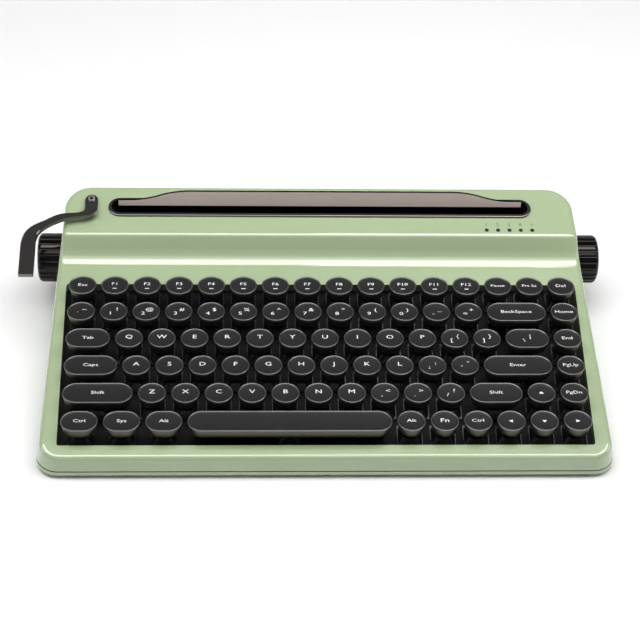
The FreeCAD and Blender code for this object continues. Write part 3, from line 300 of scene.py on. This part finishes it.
dress(BLACK_CHROME, "case_screws", "left_knob", "right_knob")
dress(finish("lever_chrome", lever_chrome), "lever_arm", "lever_hub", "slot_trim")
dress(finish("ringed_steel", ringed_steel), "lever_screw")
dress(finish("smoked_chrome", smoked_chrome), "paper_rest")

# ---------------------------------------------------------------- keys
# Each key is a hollow black cap with a plated ring round a slightly dished top, over a grey
# skirt that narrows downwards, pressed on the black slider of its switch.
MM = 0.001
PITCH = 19.05
TILT = math.radians(13)
plate_low, plate_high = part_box("switch_plate")
KEY_MIDDLE = np.array(((plate_low.x + plate_high.x) / 2 / MM, -28.85, 39.5))
SWITCH_BACK = 1.417
ARC_STEPS = 22
RING_RADIUS, DISH_RADIUS, DISH_EDGE, DISH_SAG = 8.15, 7.2, -0.35, 0.3
STABILISER_NEAR, STABILISER_FAR = 11.95, 50.0
SKIRT, RING, TOP, LEGEND = range(4)
# radius, height and finish of the band that ends there, from the cap's underside round to its top
CAP_PROFILE = [
    (0.0, -1.95, SKIRT), (6.95, -1.95, SKIRT), (6.35, -6.2, SKIRT), (6.4, -6.3, SKIRT),
    (7.0, -6.3, SKIRT), (7.1, -6.2, SKIRT), (7.5, -3.6, SKIRT), (7.82, -1.45, SKIRT),
    (7.8, -1.25, SKIRT), (7.55, -1.15, SKIRT), (7.55, -1.0, RING), (7.95, -0.92, RING),
    (8.1, -0.8, RING), (8.15, -0.6, RING), (8.15, -0.3, RING), (8.08, -0.1, RING),
    (7.92, 0.0, RING), (7.6, -0.02, RING), (7.4, -0.1, RING), (7.28, -0.3, RING),
]


def dish(away):
    """Height of a key's top at a distance from its middle line: a shallow paraboloid."""
    return DISH_EDGE - DISH_SAG * (1 - (np.minimum(away, DISH_RADIUS) / DISH_RADIUS) ** 2)


def sweep_round(profile, half_length, steps):
    """Carry a profile of (radius, height) round a straight line of that half length: a half
    circle at each end and two straight runs between them. Returns points and four-sided faces."""
    angle = np.linspace(-np.pi / 2, np.pi / 2, steps)
    turn = np.concatenate([angle, angle + np.pi])
    end = np.concatenate([np.full(steps, half_length), np.full(steps, -half_length)])
    radius, height = np.array(profile, float)[:, :2].T
    x = end + np.outer(radius, np.cos(turn))
    y = np.outer(radius, np.sin(turn))
    points = np.stack([x, y, np.broadcast_to(height[:, None], x.shape)], -1).reshape(-1, 3)
    rows, around = x.shape
    low = np.arange(rows - 1)[:, None] * around + np.arange(around)
    next_ = np.arange(rows - 1)[:, None] * around + np.roll(np.arange(around), -1)
    faces = np.stack([low, next_, next_ + around, low + around], -1).reshape(-1, 4)
    return points, faces, around


def make_piece(name, parts, materials, body, smooth=True):
    """One mesh from (points in millimetres, faces, slot number or numbers) parts, riding a body."""
    points = np.concatenate([part[0] for part in parts]) * MM
    faces, slots, start = [], [], 0
    for some, shape, slot in parts:
        faces += [[int(v) + start for v in face] for face in shape]
        slots += list(slot) if hasattr(slot, "__len__") else [slot] * len(shape)
        start += len(some)
    mesh = bpy.data.meshes.new(name)
    mesh.from_pydata(points.tolist(), [], faces)
    for material in materials:
        mesh.materials.append(material)
    mesh.polygons.foreach_set("material_index", slots)
    mesh.polygons.foreach_set("use_smooth", [smooth] * len(faces))
    weld(mesh)
    piece = bpy.data.objects.new(name, mesh)
    bpy.context.scene.collection.objects.link(piece)
    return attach(piece, body)


def weld(mesh):
    """Merge points that fall together, such as a surface's pole, and drop faces that vanish."""
    import bmesh
    work = bmesh.new()
    work.from_mesh(mesh)
    bmesh.ops.remove_doubles(work, verts=work.verts, dist=1e-6)
    bmesh.ops.dissolve_degenerate(work, edges=work.edges, dist=1e-7)
    work.to_mesh(mesh)
    work.free()


def from_key_plane(points):
    """Points in the sloping plane of the key tops, turned by the slope into the desk frame."""
    x, y, z = points.T
    c, s = math.cos(TILT), math.sin(TILT)
    return np.stack([x, c * y - s * z, s * y + c * z], -1) + KEY_MIDDLE


LETTERS = {}


def letters(text):
    """The flat outline of a legend in the built-in type face, one unit high, about its middle."""
    if text not in LETTERS:
        curve = bpy.data.curves.new("legend", "FONT")
        curve.body, curve.resolution_u, curve.space_line = text, 2, 0.95
        curve.align_x, curve.align_y = "CENTER", "CENTER"
        carrier = bpy.data.objects.new("legend", curve)
        bpy.context.scene.collection.objects.link(carrier)
        bpy.context.view_layer.update()
        flat = bpy.data.meshes.new_from_object(carrier)
        points = np.array([v.co[:] for v in flat.vertices]).reshape(-1, 3)
        LETTERS[text] = points, [list(face.vertices) for face in flat.polygons]
        bpy.data.objects.remove(carrier)
        bpy.data.curves.remove(curve)
        bpy.data.meshes.remove(flat)
    return LETTERS[text]


def legend(text, size, x, y, half_length):
    """A legend printed on a dished top: each point takes the dish's height below it."""
    if text in ARROWS:
        points, faces = ARROWS[text]
    else:
        points, faces = letters(text)
    flat = points * (size * LEGEND_STRETCH, size, 0) + (x, y, 0)
    off_line = np.maximum(np.abs(flat[:, 0]) - half_length, 0)
    flat[:, 2] = dish(np.hypot(off_line, flat[:, 1])) + LEGEND_LIFT
    return flat, faces


ARROWS = {}
for number, arrow in enumerate(("right", "up", "left", "down")):
    turn = number * np.pi / 2 + np.arange(3) * 2 * np.pi / 3
    ARROWS[arrow] = np.stack([np.cos(turn), np.sin(turn), turn * 0], -1) * 0.55, [[0, 1, 2]]
ARROWS["bar"] = np.array([(-0.6, -0.2, 0), (0.6, -0.2, 0), (0.6, 0.2, 0), (-0.6, 0.2, 0)]), [
    [0, 1, 2, 3]]
LEGEND_STRETCH, LEGEND_LIFT = 1.3, 0.02
WORD, LETTER, SMALL, ARROW, BAR = 3.4, 4.3, 3.9, 2.2, 1.6
LONG_WORD, FN_WORD = WORD * 0.85, WORD * 1.3

# node, row from the rear, left edge in key units, and each key's width and legends
ROW_KEYS = [
    ("escape_key", 0, 0, [(1, "Esc")]),
    ("f1_to_f4_keys", 0, 1, [(1, f"F{n}") for n in (1, 2, 3, 4)]),
    ("f5_to_f8_keys", 0, 5, [(1, f"F{n}") for n in (5, 6, 7, 8)]),
    ("f9_to_f12_keys", 0, 9, [(1, f"F{n}") for n in (9, 10, 11, 12)]),
    ("top_right_keys", 0, 13, [(1, "Pause"), (1, "Prt Sc"), (1, "Del")]),
    ("left_number_keys", 1, 0, [(1, p) for p in ("` ~", "1 !", "2 @", "3 #", "4 $", "5 %")]),
    ("right_number_keys", 1, 6,
     [(1, p) for p in ("6 ^", "7 &", "8 *", "9 (", "0 )", "- _", "= +")]),
    ("backspace_key", 1, 13, [(2, "BackSpace")]),
    ("home_key", 1, 15, [(1, "Home")]),
    ("tab_key", 2, 0, [(1.5, "Tab")]),
    ("qwert_keys", 2, 1.5, [(1, p) for p in "QWERT"]),
    ("yuiop_keys", 2, 6.5, [(1, p) for p in ("Y", "U", "I", "O", "P", "[ {", "] }")]),
    ("backslash_key", 2, 13.5, [(1.5, "\\ |")]),
    ("end_key", 2, 15, [(1, "End")]),
    ("caps_lock_key", 3, 0, [(1.75, "Caps")]),
    ("asdfg_keys", 3, 1.75, [(1, p) for p in "ASDFG"]),
    ("hjkl_keys", 3, 6.75, [(1, p) for p in ("H", "J", "K", "L", "; :", "' \"")]),
    ("enter_key", 3, 12.75, [(2.25, "Enter")]),
    ("page_up_key", 3, 15, [(1, "PgUp")]),
    ("left_shift_key", 4, 0, [(2.25, "Shift")]),
    ("zxcvb_keys", 4, 2.25, [(1, p) for p in "ZXCVB"]),
    ("nm_keys", 4, 7.25, [(1, p) for p in ("N", "M", ", <", ". >", "/ ?")]),
    ("right_shift_key", 4, 12.25, [(1.75, "Shift")]),
    ("up_arrow_key", 4, 14, [(1, "up")]),
    ("page_down_key", 4, 15, [(1, "PgDn")]),
    ("left_control_key", 5, 0, [(1.25, "Ctrl")]),
    ("system_key", 5, 1.25, [(1.25, "Sys")]),
    ("left_alt_key", 5, 2.5, [(1.25, "Alt")]),
    ("space_bar", 5, 3.75, [(6.25, "")]),
    ("right_modifier_keys", 5, 10, [(1, "Alt"), (1, "Fn"), (1, "Ctrl")]),
    ("left_arrow_key", 5, 13, [(1, "left")]),
    ("down_arrow_key", 5, 14, [(1, "down")]),
    ("right_arrow_key", 5, 15, [(1, "right")]),
]


def legends(text, half_length):
    """The legends of one key: a word, a letter, an arrow, or a figure with its shifted sign."""
    if text in ARROWS:
        return [legend(text, ARROW, 0, 0.2, half_length)]
    if len(text) == 3 and text[1] == " ":
        return [legend(text[0], SMALL, -1.9, -1.4, half_length),
                legend(text[2], SMALL, 1.9, 1.9, half_length)]
    if len(text) == 1:
        return [legend(text, LETTER, 0, 1.3, half_length)]
    if text.startswith("F") and text != "Fn":
        return [legend(text, WORD, 0, 1.5, half_length), legend("bar", BAR, 0, -2.6, half_length)]
    size = WORD if len(text) < 5 or half_length > 5 else LONG_WORD
    return [legend(text, FN_WORD if text == "Fn" else size, 0, 0.6, half_length)]


def gunmetal(signal):
    """Dark grey metallic lacquer."""
    flake = signal.noise(1500.0, 1.0)
    return {
        "Base Color": signal.blend(flake, (0.1, 0.094, 0.088, 1), (0.14, 0.132, 0.124, 1)),
        "Metallic": 0.9, "Roughness": 0.27 + flake * 0.08,
    }


def ring_plating(signal):
    """Satin grey-bronze plating."""
    brush = signal.noise(800.0, 3.0)
    return {
        "Base Color": signal.blend(brush, (0.16, 0.15, 0.145, 1), (0.24, 0.225, 0.215, 1)),
        "Metallic": 1.0, "Roughness": 0.24 + brush * 0.12,
    }


def satin_black(signal):
    """Satin black with a fine moulded grain."""
    grain = signal.noise(2200.0, 2.0)
    return {
        "Base Color": signal.blend(grain, (0.006, 0.006, 0.0065, 1), (0.011, 0.011, 0.0125, 1)),
        "Roughness": 0.42 + grain * 0.12, "Specular IOR Level": 0.32,
        "Normal": signal.bump(grain, 0.25, 0.0001),
    }


def print_white(signal):
    """White pad-printed ink."""
    ink = signal.noise(1800.0, 1.0)
    return {
        "Base Color": signal.blend(ink, (0.72, 0.72, 0.7, 1), (0.85, 0.85, 0.83, 1)),
        "Roughness": 0.5 + ink * 0.1,
    }


CAP_FINISHES = [finish("gunmetal_skirt", gunmetal), finish("ring_plating", ring_plating),
                finish("satin_black", satin_black), finish("print_white", print_white),
                BLACK_PLASTIC]
STEM_SLOT = len(CAP_FINISHES) - 1
TOP_PROFILE = [(r, float(dish(r)), TOP) for r in (DISH_RADIUS, 6.0, 4.5, 3.0, 1.5, 0.0)]
STEM_PROFILE = [(0.0, -11.5), (2.6, -11.5), (2.6, -2.0), (0.0, -2.0)]


def key_parts(x, y, width, text):
    """The surfaces of one key, level on its own but stepped along the sloping plane."""
    half = (width - 1) * PITCH / 2
    profile = CAP_PROFILE + TOP_PROFILE
    points, faces, around = sweep_round(profile, half, ARC_STEPS)
    bands = np.repeat([band[2] for band in profile[1:]], around)
    top = from_key_plane(np.array([[x, y, 0.0]]))[0]
    parts = [(points + top, faces, bands)]
    parts += [(flat + top, shape, LEGEND) for flat, shape in legends(text, half)] if text else []
    reach = STABILISER_FAR if width > 4 else STABILISER_NEAR
    for offset in [0] + ([-reach, reach] if width >= 2 else []):
        stem, stem_faces, _ = sweep_round(STEM_PROFILE, 0.0, 9)
        stem = from_key_plane(stem + (x + offset, y - SWITCH_BACK, 0))
        parts.append((stem, stem_faces, STEM_SLOT))
    return parts


HOME_BAR = [(0.0, 0.0), (0.35, 0.0), (0.35, 0.2), (0.2, 0.32), (0.0, 0.34)]

for node, row, left, keys in ROW_KEYS:
    parts, edge = [], left
    for width, text in keys:
        x, y = (edge + width / 2 - 8) * PITCH, (2.5 - row) * PITCH
        parts += key_parts(x, y, width, text)
        if text in ("F", "J"):
            bar, bar_faces, _ = sweep_round(HOME_BAR, 1.2, 5)
            seat = from_key_plane(np.array([[x, y, 0.0]]))[0] + (0, -3.6, float(dish(3.6)))
            parts.append((bar + seat, bar_faces, TOP))
        edge += width
    piece = make_piece(node + "_caps", parts, CAP_FINISHES, node)
    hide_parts(node)

# ---------------------------------------------------------------- marks over the lights
# Five small printed marks on the hump, one above each indicator light.
RIDGE = np.array((0.0, 82.0, 20.2))
MARK_HEIGHT, MARK_BACK, INK_THICKNESS = 3.2, 8.6, 0.03
FIRST_LIGHT, LIGHT_PITCH = 101.3, 7.0
mark_parts = []
for number, mark in enumerate(("1", "2", "3", "A", "=")):
    flat, shape = letters(mark)
    flat = flat * MARK_HEIGHT + (FIRST_LIGHT + LIGHT_PITCH * number, MARK_BACK, INK_THICKNESS)
    mark_parts.append((from_key_plane(flat) + RIDGE, shape, 0))


def print_black(signal):
    """Black pad-printed ink."""
    ink = signal.noise(1800.0, 1.0)
    return {
        "Base Color": signal.blend(ink, (0.012, 0.014, 0.012, 1), (0.03, 0.034, 0.028, 1)),
        "Roughness": 0.45 + ink * 0.1,
    }


marks = make_piece("light_marks", mark_parts, [finish("print_black", print_black)], "case")

# ---------------------------------------------------------------- studio
# A pale sweep under and behind the keyboard, a wide soft light above and weaker ones around.
CAMERA_PLACE = KEY_MIDDLE * MM + (-0.05707, -0.78892, 0.72879)
CAMERA_AXES = ((0.9987, -0.0363, 0.0345), (-0.0016, 0.666, 0.746), (-0.05, -0.7452, 0.665))
camera_data = bpy.data.cameras.new("camera")
camera_data.sensor_width, camera_data.lens = 36.0, 103.95
camera = bpy.data.objects.new("camera", camera_data)
bpy.context.scene.collection.objects.link(camera)
camera.matrix_world = Matrix.Translation(CAMERA_PLACE) @ Matrix(CAMERA_AXES).transposed().to_4x4()
bpy.context.scene.camera = camera


def area_light(name, place, aim, size, power, turn=0.0):
    """A rectangular soft light at a place, turned towards a point and then about the upright."""
    data = bpy.data.lights.new(name, "AREA")
    data.shape, data.size, data.size_y, data.energy = "RECTANGLE", size[0], size[1], power
    light = bpy.data.objects.new(name, data)
    light.location = place
    light.rotation_euler = (Vector(aim) - Vector(place)).to_track_quat("-Z", "Y").to_euler()
    light.rotation_euler.z += turn
    bpy.context.scene.collection.objects.link(light)


area_light("overhead", (0.0, -0.15, 1.1), (0.0, -0.15, 0), (1.9, 0.8), 7.8)
area_light("strip", (0.0, 0.0, 1.08), (0.0, 0.0, 0), (2.0, 0.44), 11.0)
area_light("wedge", (0.13, 0.16, 0.5), (0.13, 0.16, 0), (0.22, 0.085), 0.32, 0.13)
area_light("left", (-1.3, -0.1, 0.5), (0, 0, 0), (0.6, 0.5), 2)
area_light("right", (1.4, 0.0, 0.5), (0, 0, 0), (0.6, 0.5), 2)

floor_mesh = bpy.data.meshes.new("floor")
FLOOR = 6.0
floor_mesh.from_pydata([(-FLOOR, -FLOOR, 0), (FLOOR, -FLOOR, 0), (FLOOR, FLOOR, 0),
                        (-FLOOR, FLOOR, 0)], [], [[0, 1, 2, 3]])
floor = bpy.data.objects.new("floor", floor_mesh)
bpy.context.scene.collection.objects.link(floor)
floor_mesh.materials.append(finish("pale_floor", lambda signal: {
    "Base Color": (0.82, 0.82, 0.82, 1), "Roughness": 0.9}))
world = bpy.data.worlds.new("studio")
world.use_nodes = True
world.node_tree.nodes["Background"].inputs["Color"].default_value = (1, 1, 1, 1)
world.node_tree.nodes["Background"].inputs["Strength"].default_value = 0.22
bpy.context.scene.world = world
bpy.context.scene.view_settings.view_transform = "Standard"
